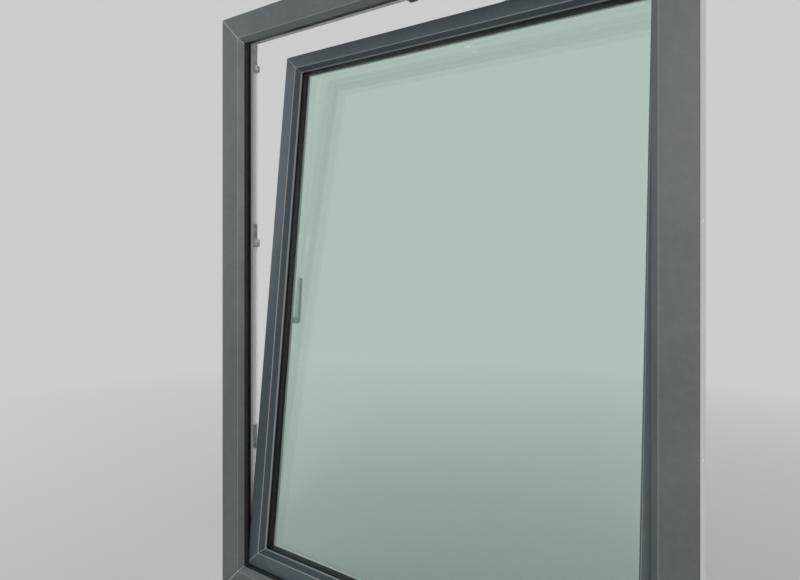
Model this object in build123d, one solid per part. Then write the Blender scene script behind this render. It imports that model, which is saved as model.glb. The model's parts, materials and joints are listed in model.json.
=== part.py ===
"""Tilt and turn window: a plastic frame and an opening sash, shown tilted in at the top.

Millimetres, +Z up. X runs to the right as seen from outside, Y runs into the room, and the origin is the
middle of the frame's underside. Every section is drawn in the side coordinates that side_plane describes:
x from the frame's outer edge towards the glass, y from the frame's outer face into the room. Sash pieces are
drawn closed, posed_with_sash leans them in, and keep_node moves all of them to the origin.
"""

import math
import os

from build123d import *

# Frame profile
frame_width = 1150.0
frame_height = 1530.0
frame_depth = 76.0
frame_face = 61.0  # flat outer face, from the outer edge to the bevel
frame_bevel = 12.5
frame_lip_back = 23.0  # depth of the outer lip
frame_floor = 51.5  # outer edge to the rebate floor
ridge_width = 2.0
ridge_height = 1.8

# Sash profile
air_gap = 12.0  # rebate floor to the sash's edge
sash_front = 28.0  # depth of the sash's outer face when closed
sash_back = 94.0
sash_flat = 36.0  # flat part of the outer face
return_width = 7.0  # the return beside it, down to the glazing lip
return_depth = 20.0
nose_thickness = 4.5
flange_reach = 20.0
flange_gap = 3.5  # frame's inner face to the flange
glazing_lip = 15.0  # height of the glazing lip over the rebate floor

# Walls and chambers
outer_wall = 2.8
inner_web = 2.0
edge_radius = 0.8
nose_radius = 1.5
step_radius = 1.2
steel_chamber = (14.0, 39.0)  # frame's steel chamber, from its outer edge
room_chamber = 17.0  # depth of the frame's chamber next to the room
steel_inset = 60.0  # frame's outer corner to the ends of the frame's steel bars
sash_steel_inset = 150.0
steel_wall = 1.5
steel_clearance = 0.8

# Glazing
pane = 4.0
pane_gap = 16.0
glass_edge_gap = 4.0
glazing_gasket = 3.0
spacer_depth = 4.0  # pane edge to the spacer bar
spacer_height = 6.5
spacer_wall = 0.8
gasket_seat = 7.0  # how far the glazing gaskets run down from the lip or the bead's edge
gasket_show = 0.6  # how far they stand past it
bead_height = 15.0
bead_bevel = 4.0
bead_wall = 2.0
bead_foot_depth = 2.4
bead_foot_width = 2.8
foot_clearance = 0.2
block_length = 100.0
block_offset = 110.0  # rebate corner to the middle of a setting block

# Hardware groove and moving rods
hardware_axis = 13.0  # flange to the middle of the groove
plate_width = 16.0
plate_thickness = 2.5
plate_side_gap = 0.3
channel_width = 12.2
channel_depth = 9.5
rod_width = 10.4
rod_thickness = 2.4
rod_gap = 0.3
rod_travel = 36.0
cam_shank = 4.2
cam_head = 5.5
cam_head_thickness = 2.0
cam_reach = 8.5  # sash edge to the cam's tip
slot_clearance = 0.6
drive_bend = 14.0  # corner to the middle of the corner drive's bend
drive_leg = 120.0
drive_end = 3.0  # rod end to the bend's start
rod_end_gap = 4.0  # rod to the end of its faceplate
plate_gap = 2.0  # faceplate to the corner leaf
plate_screw_inset = 75.0
case_screw_gap = 25.0  # gearbox to the faceplate screws beside it
drive_screw_inset = 15.0

# Keeps on the frame
keep_length = 62.0
keep_base = 2.5
keep_front = 61.6
keep_height = 10.0
keep_wall_gap = 0.4
keep_cheek = 3.2
keep_lower_height = 400.0
keep_middle_rise = 236.5  # handle to the middle keep
keep_upper_drop = 101.5  # frame's top to the upper keep
head_keep_gap = 62.5  # end of the head's faceplate to the keep beside it
sill_keep_inset = 135.0
tilt_hook = 18.0
keep_screw_inset = 7.0
keep_screw_margin = 2.0
hook_margin = 2.0  # hook's end past half of the rods' travel
screw_radius = 2.0
screw_head_radius = 3.6
screw_head_depth = 1.8
screw_length = 24.0

# Hinges
turn_axis_gap = 9.5  # flange edge to the turn axis
turn_axis_depth = 12.0  # frame's inner face to the turn axis
tilt_drop = 7.5  # flange's lower edge to the tilt axis
tilt_angle = 6.0
knuckle_radius = 7.5
pin_radius = 4.0
pin_clearance = 0.05
stay_pin_radius = 3.0
stay_knuckle_radius = 7.0
bearing_plate = 3.0
bearing_inset = 4.0  # frame's side to the bearing plates
plate_corner = 3.0
plate_margin = 7.0
lug_foot = 8.0  # how far a lug's web runs onto its plate
knuckle_lap = 1.5  # how far a plate runs in under the knuckles
pin_end = 2.0  # pin past the knuckle it carries
shelf_drop = 30.0  # tilt axis down to the underside of the pin's shelf
yoke_height = 22.0  # tilt axis up to the yoke's top
leaf_thickness = 2.4
leaf_gap_plate = 2.2
leaf_leg = 62.0
leaf_eye_wall = 2.3
leaf_eye_length = 20.0
leaf_eye_gap = 4.5  # eye to the yoke's knuckle
trunnion_end = 3.0  # trunnion past the eye
lug_height = 10.0
lug_gap = 0.3
stay_height = 29.0  # height of the stay's knuckle
stay_length = 450.0  # turn axis to the end pin
stay_thickness = 3.0
stay_width = 15.0
stay_rise = 2.5  # sash's top edge to the stay arm
stay_pin_drop = 7.0
stay_rivet_lip = 1.8
stay_rivet = 1.6
crank_inset = 6.0  # frame's rebate floor to the stay's crank
crank_width = 5.0
crank_drop = 3.0  # how far the crank stops short of the knuckle's underside
notch_margin = 1.6  # inner gasket to the metal that passes through it
stay_slot_clearance = 1.0
guide_margin = 14.0
cover_wall = 1.2
cover_gap = 0.3  # between a bearing and its cover

# Handle and gearbox
handle_height = 713.5
handle_backset = 15.0
spindle = 7.0
spindle_clearance = 0.1
spindle_hole = 7.0  # radius of the hole through the stile
handle_screw_spacing = 43.0
handle_screw_radius = 2.5
case_half_height = 70.0
case_depth = 20.0
case_width = 12.0
case_wall = 1.2
case_gap = 0.3
rose_width = 26.0
rose_height = 68.0
rose_thickness = 7.0
rose_cover = 1.5
rose_corner = 7.5
rose_gap = 0.5  # the stile's room face to the lever's neck
neck_radius = 9.0
neck_length = 36.0
lever_thickness = 11.0
lever_length = 118.0
lever_root = 10.5
lever_tip = 7.5
lever_fillet = 3.0

# Holes in the frame
fixing_radius = 4.0
fixing_depth = 40.0  # depth of the fixing holes from the outer face
fixing_inset = 180.0  # frame's corners to the outer fixing holes
fixing_spacing = 390.0  # between the inner pair
drain_length = 30.0
drain_height = 5.0
drain_place = 350.0  # middle of the window to an outer drain slot
drain_shift = 80.0  # how far the rebate's drain slot lies inside it
drain_rise = 14.0
drain_depth = 38.0
drain_cap_rim = 3.0
drain_cap_thickness = 2.5
drain_cap_tab = 1.0

# Gaskets
frame_gasket_reach = 4.6
frame_gasket_side = 1.6
frame_gasket_tip = 1.0  # half the width of the bulb's tip
gasket_round = 0.7
gasket_side_gap = 0.2
gasket_foot = 2.7
gasket_foot_width = 2.8
gasket_lip = 6.3
sash_gasket_width = 4.5
sash_gasket_inset = 2.0
sash_gasket_play = 0.6
sash_gasket_lean = 0.6
centre_gasket_y = 41.5  # front of the centre gasket's foot
centre_gasket_foot = 6.0
centre_gasket_lean = 1.5
centre_gasket_fin = 2.0
centre_gasket_root = 2.5  # height of the foot, below the fin
centre_gasket_play = 1.4  # fin to the closed sash

# Places that follow from the sizes above
lip_edge = frame_face + frame_bevel
sash_edge = frame_floor + air_gap
nose = sash_edge + sash_flat + return_width
nose_y = sash_front + return_depth
glass_seat = nose_y + nose_thickness
flange_edge = sash_edge - flange_reach
flange_y = frame_depth + flange_gap
glazing_floor = nose - glazing_lip
glass_edge = glazing_floor + glass_edge_gap
outer_pane_y = glass_seat + glazing_gasket
gap_y = outer_pane_y + pane
inner_pane_y = gap_y + pane_gap
glass_back = inner_pane_y + pane
bead_y = glass_back + glazing_gasket
groove_y = flange_y - hardware_axis
turn_x = frame_width / 2 - flange_edge + turn_axis_gap
turn_y = frame_depth + turn_axis_depth
tilt_z = flange_edge - tilt_drop
rod_x = sash_edge + plate_thickness + rod_gap
rod_back = rod_x + rod_thickness
case_x = rod_back + rod_gap
handle_x = sash_edge + handle_backset
keep_wall_y = groove_y + cam_head + keep_wall_gap
keep_base_back = frame_depth - ridge_width - keep_wall_gap
pinion_radius = handle_x - case_x - case_wall
sash_top = frame_height - sash_edge
keep_heights = {
    "lower": keep_lower_height,
    "middle": handle_height + keep_middle_rise,
    "upper": frame_height - keep_upper_drop,
}
tilt_keep_play = (sash_edge - tilt_z) * math.sin(math.radians(tilt_angle))
turn_axis = Axis((turn_x, turn_y, 0), (0, 0, -1))
tilt_axis = Axis((0, turn_y, tilt_z), (-1, 0, 0))

nodes = {}


def side_plane(side):
    """Local x points to the glass, y into the room, and z along the side from its first corner."""
    half = frame_width / 2
    return {
        "lock": Plane(origin=(-half, 0, 0), x_dir=(1, 0, 0), z_dir=(0, 0, 1)),
        "head": Plane(origin=(-half, 0, frame_height), x_dir=(0, 0, -1), z_dir=(1, 0, 0)),
        "hinge": Plane(origin=(half, 0, frame_height), x_dir=(-1, 0, 0), z_dir=(0, 0, -1)),
        "sill": Plane(origin=(half, 0, 0), x_dir=(0, 0, 1), z_dir=(-1, 0, 0)),
    }[side]


def side_length(side):
    return frame_width if side in ("head", "sill") else frame_height


def placed(side, shape):
    return side_plane(side).location * shape


def box(x, y, z):
    """A block between pairs of coordinates."""
    size = [high - low for low, high in (x, y, z)]
    centre = [(high + low) / 2 for low, high in (x, y, z)]
    return Pos(*centre) * Box(*size)


def upright(radius, x, y, z):
    """A cylinder along z between two heights."""
    return Pos(x, y, (z[0] + z[1]) / 2) * Cylinder(radius, z[1] - z[0])


def along_x(radius, x, y, z):
    return Pos((x[0] + x[1]) / 2, y, z) * Rot(0, 90, 0) * Cylinder(radius, x[1] - x[0])


def along_y(radius, x, y, z):
    return Pos(x, (y[0] + y[1]) / 2, z) * Rot(90, 0, 0) * Cylinder(radius, y[1] - y[0])


def outline(*corners):
    """A closed section from (x, y) corners, each with its rounding as a third value where it has one."""
    points = [corner[:2] for corner in corners]
    rounding = [corner[2] if len(corner) > 2 else 0.0 for corner in corners]
    return make_face(FilletPolyline(*points, radius=rounding, close=True).edges())


def slab(x, y):
    """A rectangular section between pairs of coordinates."""
    return outline((x[0], y[0]), (x[1], y[0]), (x[1], y[1]), (x[0], y[1]))


def mitred(section, side):
    """A length of the section along a side, cut at 45 degrees at both corners."""
    length = side_length(side)
    reach = nose + frame_depth
    corners = Polygon((0, 0), (reach, reach), (reach, length - reach), (0, length), align=None)
    wedge = extrude(Plane.XZ * corners, amount=2 * frame_depth, both=True)
    return extrude(section, amount=length) & wedge


def ring(section):
    """The section run round all four sides as one piece."""
    sides = [placed(side, mitred(section, side)) for side in ("lock", "head", "hinge", "sill")]
    return sides[0] + sides[1] + sides[2] + sides[3]


def posed_with_sash(shape):
    return shape.rotate(tilt_axis, tilt_angle)


def solids_of(*shapes):
    return [solid for shape in shapes for solid in shape.solids()]


def keep_node(name, *shapes):
    """Stores a piece, or a group of like pieces, under its name."""
    solids = [Pos(0, -frame_depth / 2, 0) * solid for solid in solids_of(*shapes)]
    nodes[name] = solids[0] if len(solids) == 1 else Compound(solids)


def keep_sash_node(name, *shapes):
    keep_node(name, *[posed_with_sash(solid) for solid in solids_of(*shapes)])


def frame_section():
    """Outer frame: flat face, bevelled lip, rebate floor with its ridge, and hollow chambers."""
    body = outline(
        (0, 0, edge_radius),
        (frame_face, 0, edge_radius),
        (lip_edge, frame_bevel, edge_radius),
        (lip_edge, frame_lip_back),
        (frame_floor, frame_lip_back, edge_radius),
        (frame_floor, frame_depth - ridge_width),
        (frame_floor + ridge_height, frame_depth - ridge_width),
        (frame_floor + ridge_height, frame_depth, edge_radius),
        (0, frame_depth, edge_radius),
    )
    groove_x = lip_edge - gasket_lip / 2
    body -= slab(
        (groove_x - gasket_foot_width / 2, groove_x + gasket_foot_width / 2),
        (frame_lip_back - gasket_foot, frame_lip_back + 1),
    )
    front_back = frame_lip_back - gasket_foot - inner_web
    lean = outer_wall * math.tan(math.radians(22.5))
    body -= outline(
        (outer_wall, outer_wall),
        (frame_face - lean, outer_wall),
        (lip_edge - outer_wall, frame_bevel + lean),
        (lip_edge - outer_wall, front_back),
        (outer_wall, front_back),
    )
    back = frame_depth - outer_wall
    floor = frame_floor - outer_wall
    room_web = back - room_chamber
    for x, y in (
        ((outer_wall, steel_chamber[0] - inner_web), (front_back + inner_web, room_web)),
        (steel_chamber, (front_back + inner_web, room_web)),
        ((steel_chamber[1] + inner_web, floor), (frame_lip_back + outer_wall, room_web)),
        ((outer_wall, floor), (room_web + inner_web, back)),
    ):
        body -= slab(x, y)
    return body


def frame_steel_section():
    front = frame_lip_back - gasket_foot
    room_web = frame_depth - outer_wall - room_chamber
    return steel_tube(steel_chamber, (front, room_web))


def steel_tube(x, y):
    """A square steel tube that fills a chamber, less its clearance."""
    outer, inner = [
        slab((x[0] + inset, x[1] - inset), (y[0] + inset, y[1] - inset))
        for inset in (steel_clearance, steel_clearance + steel_wall)
    ]
    return outer - inner


def sash_section():
    """Sash: flat outer face, deep return to the glazing lip, room-side flange and hardware groove."""
    body = outline(
        (sash_edge, sash_front, edge_radius),
        (sash_edge + sash_flat, sash_front, step_radius),
        (nose, nose_y, nose_radius),
        (nose, glass_seat, edge_radius),
        (glazing_floor, glass_seat),
        (glazing_floor, sash_back, edge_radius),
        (flange_edge, sash_back, 2 * edge_radius),
        (flange_edge, flange_y, edge_radius),
        (sash_edge, flange_y),
    )
    half_plate = plate_width / 2 + plate_side_gap
    body -= slab((sash_edge - 1, sash_edge + plate_thickness), (groove_y - half_plate, groove_y + half_plate))
    body -= slab(
        (sash_edge, sash_edge + plate_thickness + channel_depth),
        (groove_y - channel_width / 2, groove_y + channel_width / 2),
    )
    body -= bead_groove(foot_clearance)
    for chamber in sash_chambers():
        body -= chamber
    return body


def sash_chambers():
    left = sash_edge + outer_wall
    right = glazing_floor - outer_wall
    lip_back = glass_seat - outer_wall
    front_back = lip_back - 2 * inner_web
    main = sash_main_chamber()
    low_web = groove_y - channel_width / 2 - inner_web - outer_wall
    foot_wall = right - bead_foot_depth
    yield outline(
        (left, sash_front + outer_wall),
        (sash_edge + sash_flat - outer_wall, sash_front + outer_wall),
        (nose - 2 * outer_wall, lip_back),
        (right + inner_web, lip_back),
        (right + inner_web, front_back),
        (left, front_back),
    )
    yield slab(*main)
    yield slab((left, main[0][0] - inner_web), (front_back + inner_web, low_web))
    yield slab((left, foot_wall), (main[1][1] + inner_web, sash_back - outer_wall))
    yield slab((flange_edge + outer_wall, left - inner_web), (flange_y + outer_wall, sash_back - outer_wall))


def sash_main_chamber():
    """The chamber that holds the steel, between the hardware groove and the glazing rebate."""
    front = glass_seat - outer_wall - inner_web
    return (
        (sash_edge + plate_thickness + channel_depth + inner_web, glazing_floor - outer_wall),
        (front, flange_y - outer_wall),
    )


def bead_groove(clearance):
    """The groove in the rebate floor that the glazing bead's foot snaps into."""
    middle = (bead_y + sash_back) / 2 + bead_foot_width / 2
    half = bead_foot_width / 2 + clearance
    x = (glazing_floor - bead_foot_depth - clearance, glazing_floor + clearance)
    return slab(x, (middle - half, middle + half))


def sash_steel_section():
    return steel_tube(*sash_main_chamber())


def steel_bar(section, side, inset):
    """A steel bar along a side, cut square and held short of the welded corners."""
    return Pos(0, 0, inset) * extrude(section, amount=side_length(side) - 2 * inset)


def screw(x, y, z, length):
    """A countersunk screw whose head lies flush at x and whose shank runs towards the frame's edge."""
    head = Pos(x - screw_head_depth / 2, y, z) * Rot(0, 90, 0)
    head *= Cone(screw_radius, screw_head_radius, screw_head_depth)
    return head + along_x(screw_radius, (x - length, x - screw_head_depth / 2), y, z)


def keep_screw_places(middle):
    reach = keep_length / 2 - keep_screw_inset
    return [(middle - reach), (middle + reach)]


def screw_y():
    return keep_front + screw_head_radius + keep_screw_margin


def keep(middle, hooks, play=0.0):
    """A cast keep: base on the rebate floor, and hooks on its room side that hold the cam.

    Each hook is a stretch along the side and the end of the keep, -1 or 1, where its cheek stands.
    """
    z = (middle - keep_length / 2, middle + keep_length / 2)
    top = frame_floor + keep_base
    foot = frame_floor + ridge_height + keep_wall_gap / 2
    height = frame_floor + keep_height
    body = box((frame_floor, top), (keep_front, keep_base_back), z)
    body = fillet(body.edges().filter_by(Axis.X), edge_radius * 2)
    for (low, high), end in hooks:
        hook = box((foot, height), (keep_wall_y + play, frame_depth + play), (low, high))
        cheek_z = (low, low + keep_cheek) if end < 0 else (high - keep_cheek, high)
        cheek = box((foot, height), (groove_y - cam_head, frame_depth + play), cheek_z)
        body += chamfer(hook.edges().filter_by(Axis.Y).group_by(Axis.X)[-1], 2.0) + cheek
    for place in keep_screw_places(middle):
        body -= screw(top, screw_y(), place, screw_length)
    return body


def cam(x, z):
    """A mushroom cam that stands out of the sash's edge."""
    tip = sash_edge - cam_reach
    shank = along_x(cam_shank, (tip, x), groove_y, z)
    head = along_x(cam_head, (tip, tip + cam_head_thickness), groove_y, z)
    return shank + fillet(head.edges().filter_by(GeomType.CIRCLE), 0.5)


def rod(z, screws):
    """A flat drive rod with long holes round the faceplate's screws."""
    y = (groove_y - rod_width / 2, groove_y + rod_width / 2)
    bar = box((rod_x, rod_back), y, z)
    for place in screws:
        bar -= slot_hole(place, screw_radius + slot_clearance, (rod_x - 1, rod_back + 1))
    return bar


def slot_hole(place, radius, x):
    """A slot along a side, long enough for the rods' travel on both sides of a place."""
    low, high = place - rod_travel, place + rod_travel
    hole = box(x, (groove_y - radius, groove_y + radius), (low, high))
    return hole + along_x(radius, x, groove_y, low) + along_x(radius, x, groove_y, high)


def faceplate(z, cams, travel, screws):
    """A faceplate strip; each cam has a slot from its place at rest to the end of its travel."""
    y = (groove_y - plate_width / 2, groove_y + plate_width / 2)
    strip = box((sash_edge, sash_edge + plate_thickness), y, z)
    for place in cams:
        strip -= cam_slot(place, travel)
    for place in screws:
        strip -= groove_screw(place)
    return strip


def cam_slot(place, travel):
    low, high = sorted((place, place + travel))
    cut = (sash_edge - 1, sash_edge + plate_thickness + 1)
    radius = cam_shank + slot_clearance
    slot = box(cut, (groove_y - radius, groove_y + radius), (low, high))
    return slot + along_x(radius, cut, groove_y, low) + along_x(radius, cut, groove_y, high)


def groove_screw(place):
    """A faceplate screw that reaches through the groove's floor."""
    head = Pos(sash_edge + screw_head_depth / 2, groove_y, place) * Rot(0, -90, 0)
    head *= Cone(screw_radius, screw_head_radius, screw_head_depth)
    shank = (sash_edge + screw_head_depth / 2, sash_edge + screw_length)
    return head + along_x(screw_radius, shank, groove_y, place)


def bent_plate(corner_x, corner_z, leg, up):
    """A corner drive in world coordinates: two faceplate legs and the curved strip between the rods."""
    width = (groove_y - plate_width / 2, groove_y + plate_width / 2)
    edge = plate_thickness
    side = sorted((corner_z, corner_z - up * leg))
    level = sorted((corner_z, corner_z - up * edge))
    plates = box((corner_x, corner_x + edge), width, side) + box((corner_x, corner_x + leg), width, level)
    centre = (corner_x + drive_bend, groove_y, corner_z - up * drive_bend)
    outer = drive_bend - (rod_x - sash_edge)
    tube = along_y(outer, centre[0], (width[0] + 1, width[1] - 1), centre[2])
    tube -= along_y(outer - rod_thickness, centre[0], width, centre[2])
    quarter = box(
        (corner_x, centre[0]),
        (groove_y - rod_width / 2, groove_y + rod_width / 2),
        sorted((centre[2], corner_z)),
    )
    foot = box(
        (corner_x + edge, centre[0]),
        (groove_y - rod_width / 2, groove_y + rod_width / 2),
        sorted((corner_z - up * edge, centre[2])),
    )
    web = foot - along_y(outer, centre[0], width, centre[2])
    return plates + (tube & quarter) + web


def build_frame():
    section = frame_section()
    names = {
        "head": "frame_head",
        "sill": "frame_sill",
        "lock": "frame_jamb_lock",
        "hinge": "frame_jamb_hinge",
    }
    steel = []
    for side, name in names.items():
        member = mitred(section, side)
        bar = steel_bar(frame_steel_section(), side, steel_inset)
        if side in ("lock", "hinge"):
            for place in fixing_places():
                hole = along_x(fixing_radius, (-1, frame_floor + 1), fixing_depth, place)
                member -= hole
                bar -= hole
        if side == "sill":
            for slot in drain_slots():
                member -= slot
        for z in keep_screws_on(side):
            hole = screw_shank(z)
            member -= hole
            bar -= hole
        member = placed(side, member)
        bar = placed(side, bar)
        if side == "hinge":
            for hole in bearing_screws():
                member -= hole
                bar -= hole
        steel.append(bar)
        keep_node(name, member)
    keep_node("frame_steel", *steel)
    keep_node("frame_gasket", ring(frame_gasket_section()))
    keep_node("centre_gasket", ring(centre_gasket_section()))
    build_keeps()
    build_drain_caps()


def fixing_places():
    """Fixing holes along a jamb, the same from both ends."""
    reach = fixing_spacing / 2
    middle = frame_height / 2
    return (fixing_inset, middle - reach, middle + reach, frame_height - fixing_inset)


def frame_gasket_section():
    """The lip gasket: a foot in the frame's groove and a soft bulb towards the sash."""
    foot_x = lip_edge - gasket_lip / 2
    half = gasket_foot_width / 2
    front = frame_lip_back
    tip = front + frame_gasket_reach
    return outline(
        (foot_x - half, front - gasket_foot),
        (foot_x + half, front - gasket_foot),
        (foot_x + half, front),
        (lip_edge - gasket_side_gap, front),
        (lip_edge, front + frame_gasket_side, gasket_round),
        (foot_x + frame_gasket_tip, tip, gasket_round),
        (foot_x - frame_gasket_tip, tip, gasket_round),
        (lip_edge - gasket_lip, front + frame_gasket_side, gasket_round),
        (lip_edge - gasket_lip, front),
        (foot_x - half, front),
    )


def centre_gasket_section():
    """The centre gasket: a foot on the rebate floor and a fin towards the sash's edge."""
    low = centre_gasket_y
    fin = low + centre_gasket_lean
    tip = sash_edge - centre_gasket_play
    return outline(
        (frame_floor, low),
        (tip, fin, gasket_round),
        (tip, fin + centre_gasket_fin, gasket_round),
        (frame_floor + centre_gasket_root, fin + centre_gasket_fin + 1.0, gasket_round),
        (frame_floor + centre_gasket_root, low + centre_gasket_foot, gasket_round),
        (frame_floor, low + centre_gasket_foot),
    )


def keep_screws_on(side):
    """Heights along a side of the keep screws in it."""
    middles = {"lock": list(keep_heights.values()), "head": [head_z()], "sill": [sill_z()]}
    return [z for middle in middles.get(side, []) for z in keep_screw_places(middle)]


def screw_shank(z):
    return along_x(screw_radius, (frame_floor + keep_base - screw_length, frame_floor + 1), screw_y(), z)


def head_z():
    """Place of the head's keep, beside the end of the faceplate under it."""
    return plate_ends()["head"][1] - head_keep_gap


def sill_z():
    """Place of the tilt keep along the sill, which runs from the hinge side."""
    return frame_width - sill_keep_inset


def lock_hook(middle):
    """The stretch of a keep that holds a locked cam, and leaves it free when level or up."""
    low = middle - keep_length / 2
    return (low, low + rod_travel / 2 + hook_margin)


def cam_place(middle):
    """Where a keep's cam stands with the handle up."""
    low, high = lock_hook(middle)
    return (low + high) / 2 + rod_travel


def build_keeps():
    for name, height in keep_heights.items():
        keep_node("keep_" + name, placed("lock", keep(height, [(lock_hook(height), -1)])))
    keep_node("keep_head", placed("head", keep(head_z(), [(lock_hook(head_z()), -1)])))
    middle = sill_z()
    low, high = middle - keep_length / 2, middle + keep_length / 2
    ends = [((low, low + tilt_hook), -1), ((high - tilt_hook, high), 1)]
    keep_node("keep_tilt", placed("sill", keep(middle, ends, tilt_keep_play)))
    screws = []
    for side in ("lock", "head", "sill"):
        for z in keep_screws_on(side):
            screws.append(placed(side, screw(frame_floor + keep_base, screw_y(), z, screw_length)))
    keep_node("keep_screws", *screws)


def drain_slots():
    """Slots through the sill's rebate floor and through its outer face, set apart along its length."""
    for sign in (-1, 1):
        outer = frame_width / 2 + sign * drain_place
        inner = outer - sign * drain_shift
        yield box(
            (drain_rise, drain_rise + drain_height),
            (-1, outer_wall + 1),
            (outer - drain_length / 2, outer + drain_length / 2),
        )
        yield box(
            (frame_floor - outer_wall - 1, frame_floor + 1),
            (drain_depth - drain_height / 2, drain_depth + drain_height / 2),
            (inner - drain_length / 2, inner + drain_length / 2),
        )


def build_drain_caps():
    """Hooded caps over the outer drain slots, open underneath."""
    caps = []
    for sign in (-1, 1):
        middle = frame_width / 2 + sign * drain_place
        half = drain_length / 2 + drain_cap_rim
        x = (drain_rise - drain_cap_rim, drain_rise + drain_height + drain_cap_rim)
        cap = box(x, (-drain_cap_thickness, 0), (middle - half, middle + half))
        cap = fillet(cap.faces().sort_by(Axis.Y)[0].edges(), edge_radius)
        half = drain_length / 2
        hood = (-drain_cap_thickness + drain_cap_tab, 1)
        cap -= box((x[0] - 1, drain_rise + drain_height), hood, (middle - half, middle + half))
        for low in (middle - half + foot_clearance, middle + half - foot_clearance - drain_cap_tab):
            cap += box(
                (drain_rise + foot_clearance, drain_rise + drain_height - foot_clearance),
                (-drain_cap_thickness + drain_cap_tab, outer_wall),
                (low, low + drain_cap_tab),
            )
        caps.append(placed("sill", cap))
    keep_node("drain_caps", *caps)


def build_hinges():
    """Bearings on the frame, the tilt yoke, the corner leaf on the sash and the stay."""
    build_corner_bearing()
    build_stay_bearing()
    keep_node("bearing_screws", *bearing_screws())
    keep_node("bearing_covers", corner_bearing_cover(), stay_bearing_cover())
    build_yoke()
    build_leaf()
    build_stay()


def bearing_x():
    """The bearing plates' span across the frame's face."""
    return (turn_x + knuckle_radius - knuckle_lap, frame_width / 2 - bearing_inset)


def build_corner_bearing():
    base_z = shelf_z()
    x = bearing_x()
    plate = box(x, (frame_depth, frame_depth + bearing_plate), (base_z[0], tilt_z + yoke_height))
    plate = fillet(plate.edges().filter_by(Axis.Y), plate_corner)
    shelf = box((turn_x, x[1] - plate_corner), (frame_depth, turn_y + knuckle_radius), base_z)
    far = shelf.edges().filter_by(Axis.Z).sort_by(lambda edge: edge.center().X + edge.center().Y)[-1:]
    shelf = fillet(far, knuckle_radius - knuckle_lap)
    body = plate + shelf + upright(knuckle_radius, turn_x, turn_y, base_z)
    pin_z = (base_z[0] + pin_end, tilt_z + yoke_height + pin_end)
    body -= upright(pin_radius, turn_x, turn_y, (pin_z[0], base_z[1] + 1))
    for hole in bearing_screws():
        body -= hole
    keep_node("corner_bearing", body)
    pin = upright(pin_radius, turn_x, turn_y, pin_z)
    keep_node("corner_bearing_pin", chamfer(pin.edges().group_by(Axis.Z)[-1], 1.0))


def corner_bearing_cover():
    return bearing_cover((shelf_z()[1], tilt_z + yoke_height), [])


def shelf_z():
    """Heights of the shelf that carries the corner bearing's pin."""
    low = tilt_z - shelf_drop
    return (low, low + lug_height)


def bearing_cover(z, lugs):
    """A thin shell over a bearing plate, open where the bearing's lugs come through."""
    x = bearing_x()
    y = (frame_depth, frame_depth + bearing_plate + cover_gap)
    inside = [(low - cover_gap, high + cover_gap) for low, high in (x, z)]
    outside = [(low - cover_wall, high + cover_wall) for low, high in inside]
    shell = box(outside[0], (y[0], y[1] + cover_wall), (z[0] + cover_gap, outside[1][1]))
    shell = fillet(shell.faces().sort_by(Axis.Y)[-1].edges(), cover_wall * 0.8)
    shell -= box(inside[0], (y[0] - 1, y[1]), (z[0] - 1, inside[1][1]))
    for low, high in lugs:
        slot_x = (outside[0][0] - 1, x[0] + lug_foot + cover_gap)
        shell -= box(slot_x, (y[0] - 1, turn_y), (low - cover_gap, high + cover_gap))
    return shell


def bearing_screws():
    """Both bearings' countersunk screws into the frame's room face."""
    low, high = stay_knuckle_z()
    x = sum(bearing_x()) / 2
    top = frame_depth + bearing_plate
    screws = []
    for z in (tilt_z, tilt_z + yoke_height - plate_margin, low + plate_margin, high - plate_margin):
        head = Pos(x, top - screw_head_depth / 2, z) * Rot(-90, 0, 0)
        head *= Cone(screw_radius, screw_head_radius, screw_head_depth)
        screws.append(head + along_y(screw_radius, x, (top - screw_length, top - screw_head_depth / 2), z))
    return screws


def stay_z():
    """Heights of the stay arm's underside and top."""
    low = sash_top + stay_rise
    return (low, low + stay_thickness)


def stay_knuckle_z():
    top = stay_z()[1]
    return (top - stay_height, top)


def stay_lugs():
    """Heights of the stay bearing's two lugs, and of its plate."""
    low, high = stay_knuckle_z()
    lugs = [(low - lug_gap - lug_height, low - lug_gap), (high + lug_gap, high + lug_gap + lug_height)]
    return lugs, (lugs[0][0] - plate_margin, lugs[1][1] + plate_margin)


def stay_bearing_cover():
    lugs, plate_z = stay_lugs()
    return bearing_cover(plate_z, lugs)


def build_stay_bearing():
    lugs, plate_z = stay_lugs()
    x = bearing_x()
    plate = box(x, (frame_depth, frame_depth + bearing_plate), plate_z)
    body = fillet(plate.edges().filter_by(Axis.Y), plate_corner)
    for z in lugs:
        body += upright(stay_knuckle_radius, turn_x, turn_y, z)
        body += box((turn_x, x[0] + lug_foot), (frame_depth + 1, turn_y + stay_knuckle_radius / 2), z)
    body -= upright(stay_pin_radius, turn_x, turn_y, (lugs[0][0] - 1, lugs[1][1] + 1))
    for hole in bearing_screws():
        body -= hole
    keep_node("stay_bearing", body)
    pin = upright(stay_pin_radius, turn_x, turn_y, (lugs[0][0] - pin_end, lugs[1][1] + pin_end))
    keep_node("stay_bearing_pin", pin)


def build_yoke():
    """Turns on the corner bearing's pin and carries the sash on a level trunnion."""
    base = shelf_z()[1] + lug_gap
    knuckle = upright(knuckle_radius, turn_x, turn_y, (base, tilt_z + yoke_height))
    knuckle = fillet(knuckle.edges().filter_by(GeomType.CIRCLE).group_by(Axis.Z)[-1], 1.0)
    end = leaf_eye_x()[0] - trunnion_end
    body = knuckle + along_x(pin_radius, (end, turn_x), turn_y, tilt_z)
    body -= upright(pin_radius + pin_clearance, turn_x, turn_y, (base - 1, tilt_z + yoke_height + 1))
    keep_node("tilt_yoke", body)


def leaf_eye_x():
    high = turn_x - knuckle_radius - leaf_eye_gap
    return (high - leaf_eye_length, high)


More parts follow.
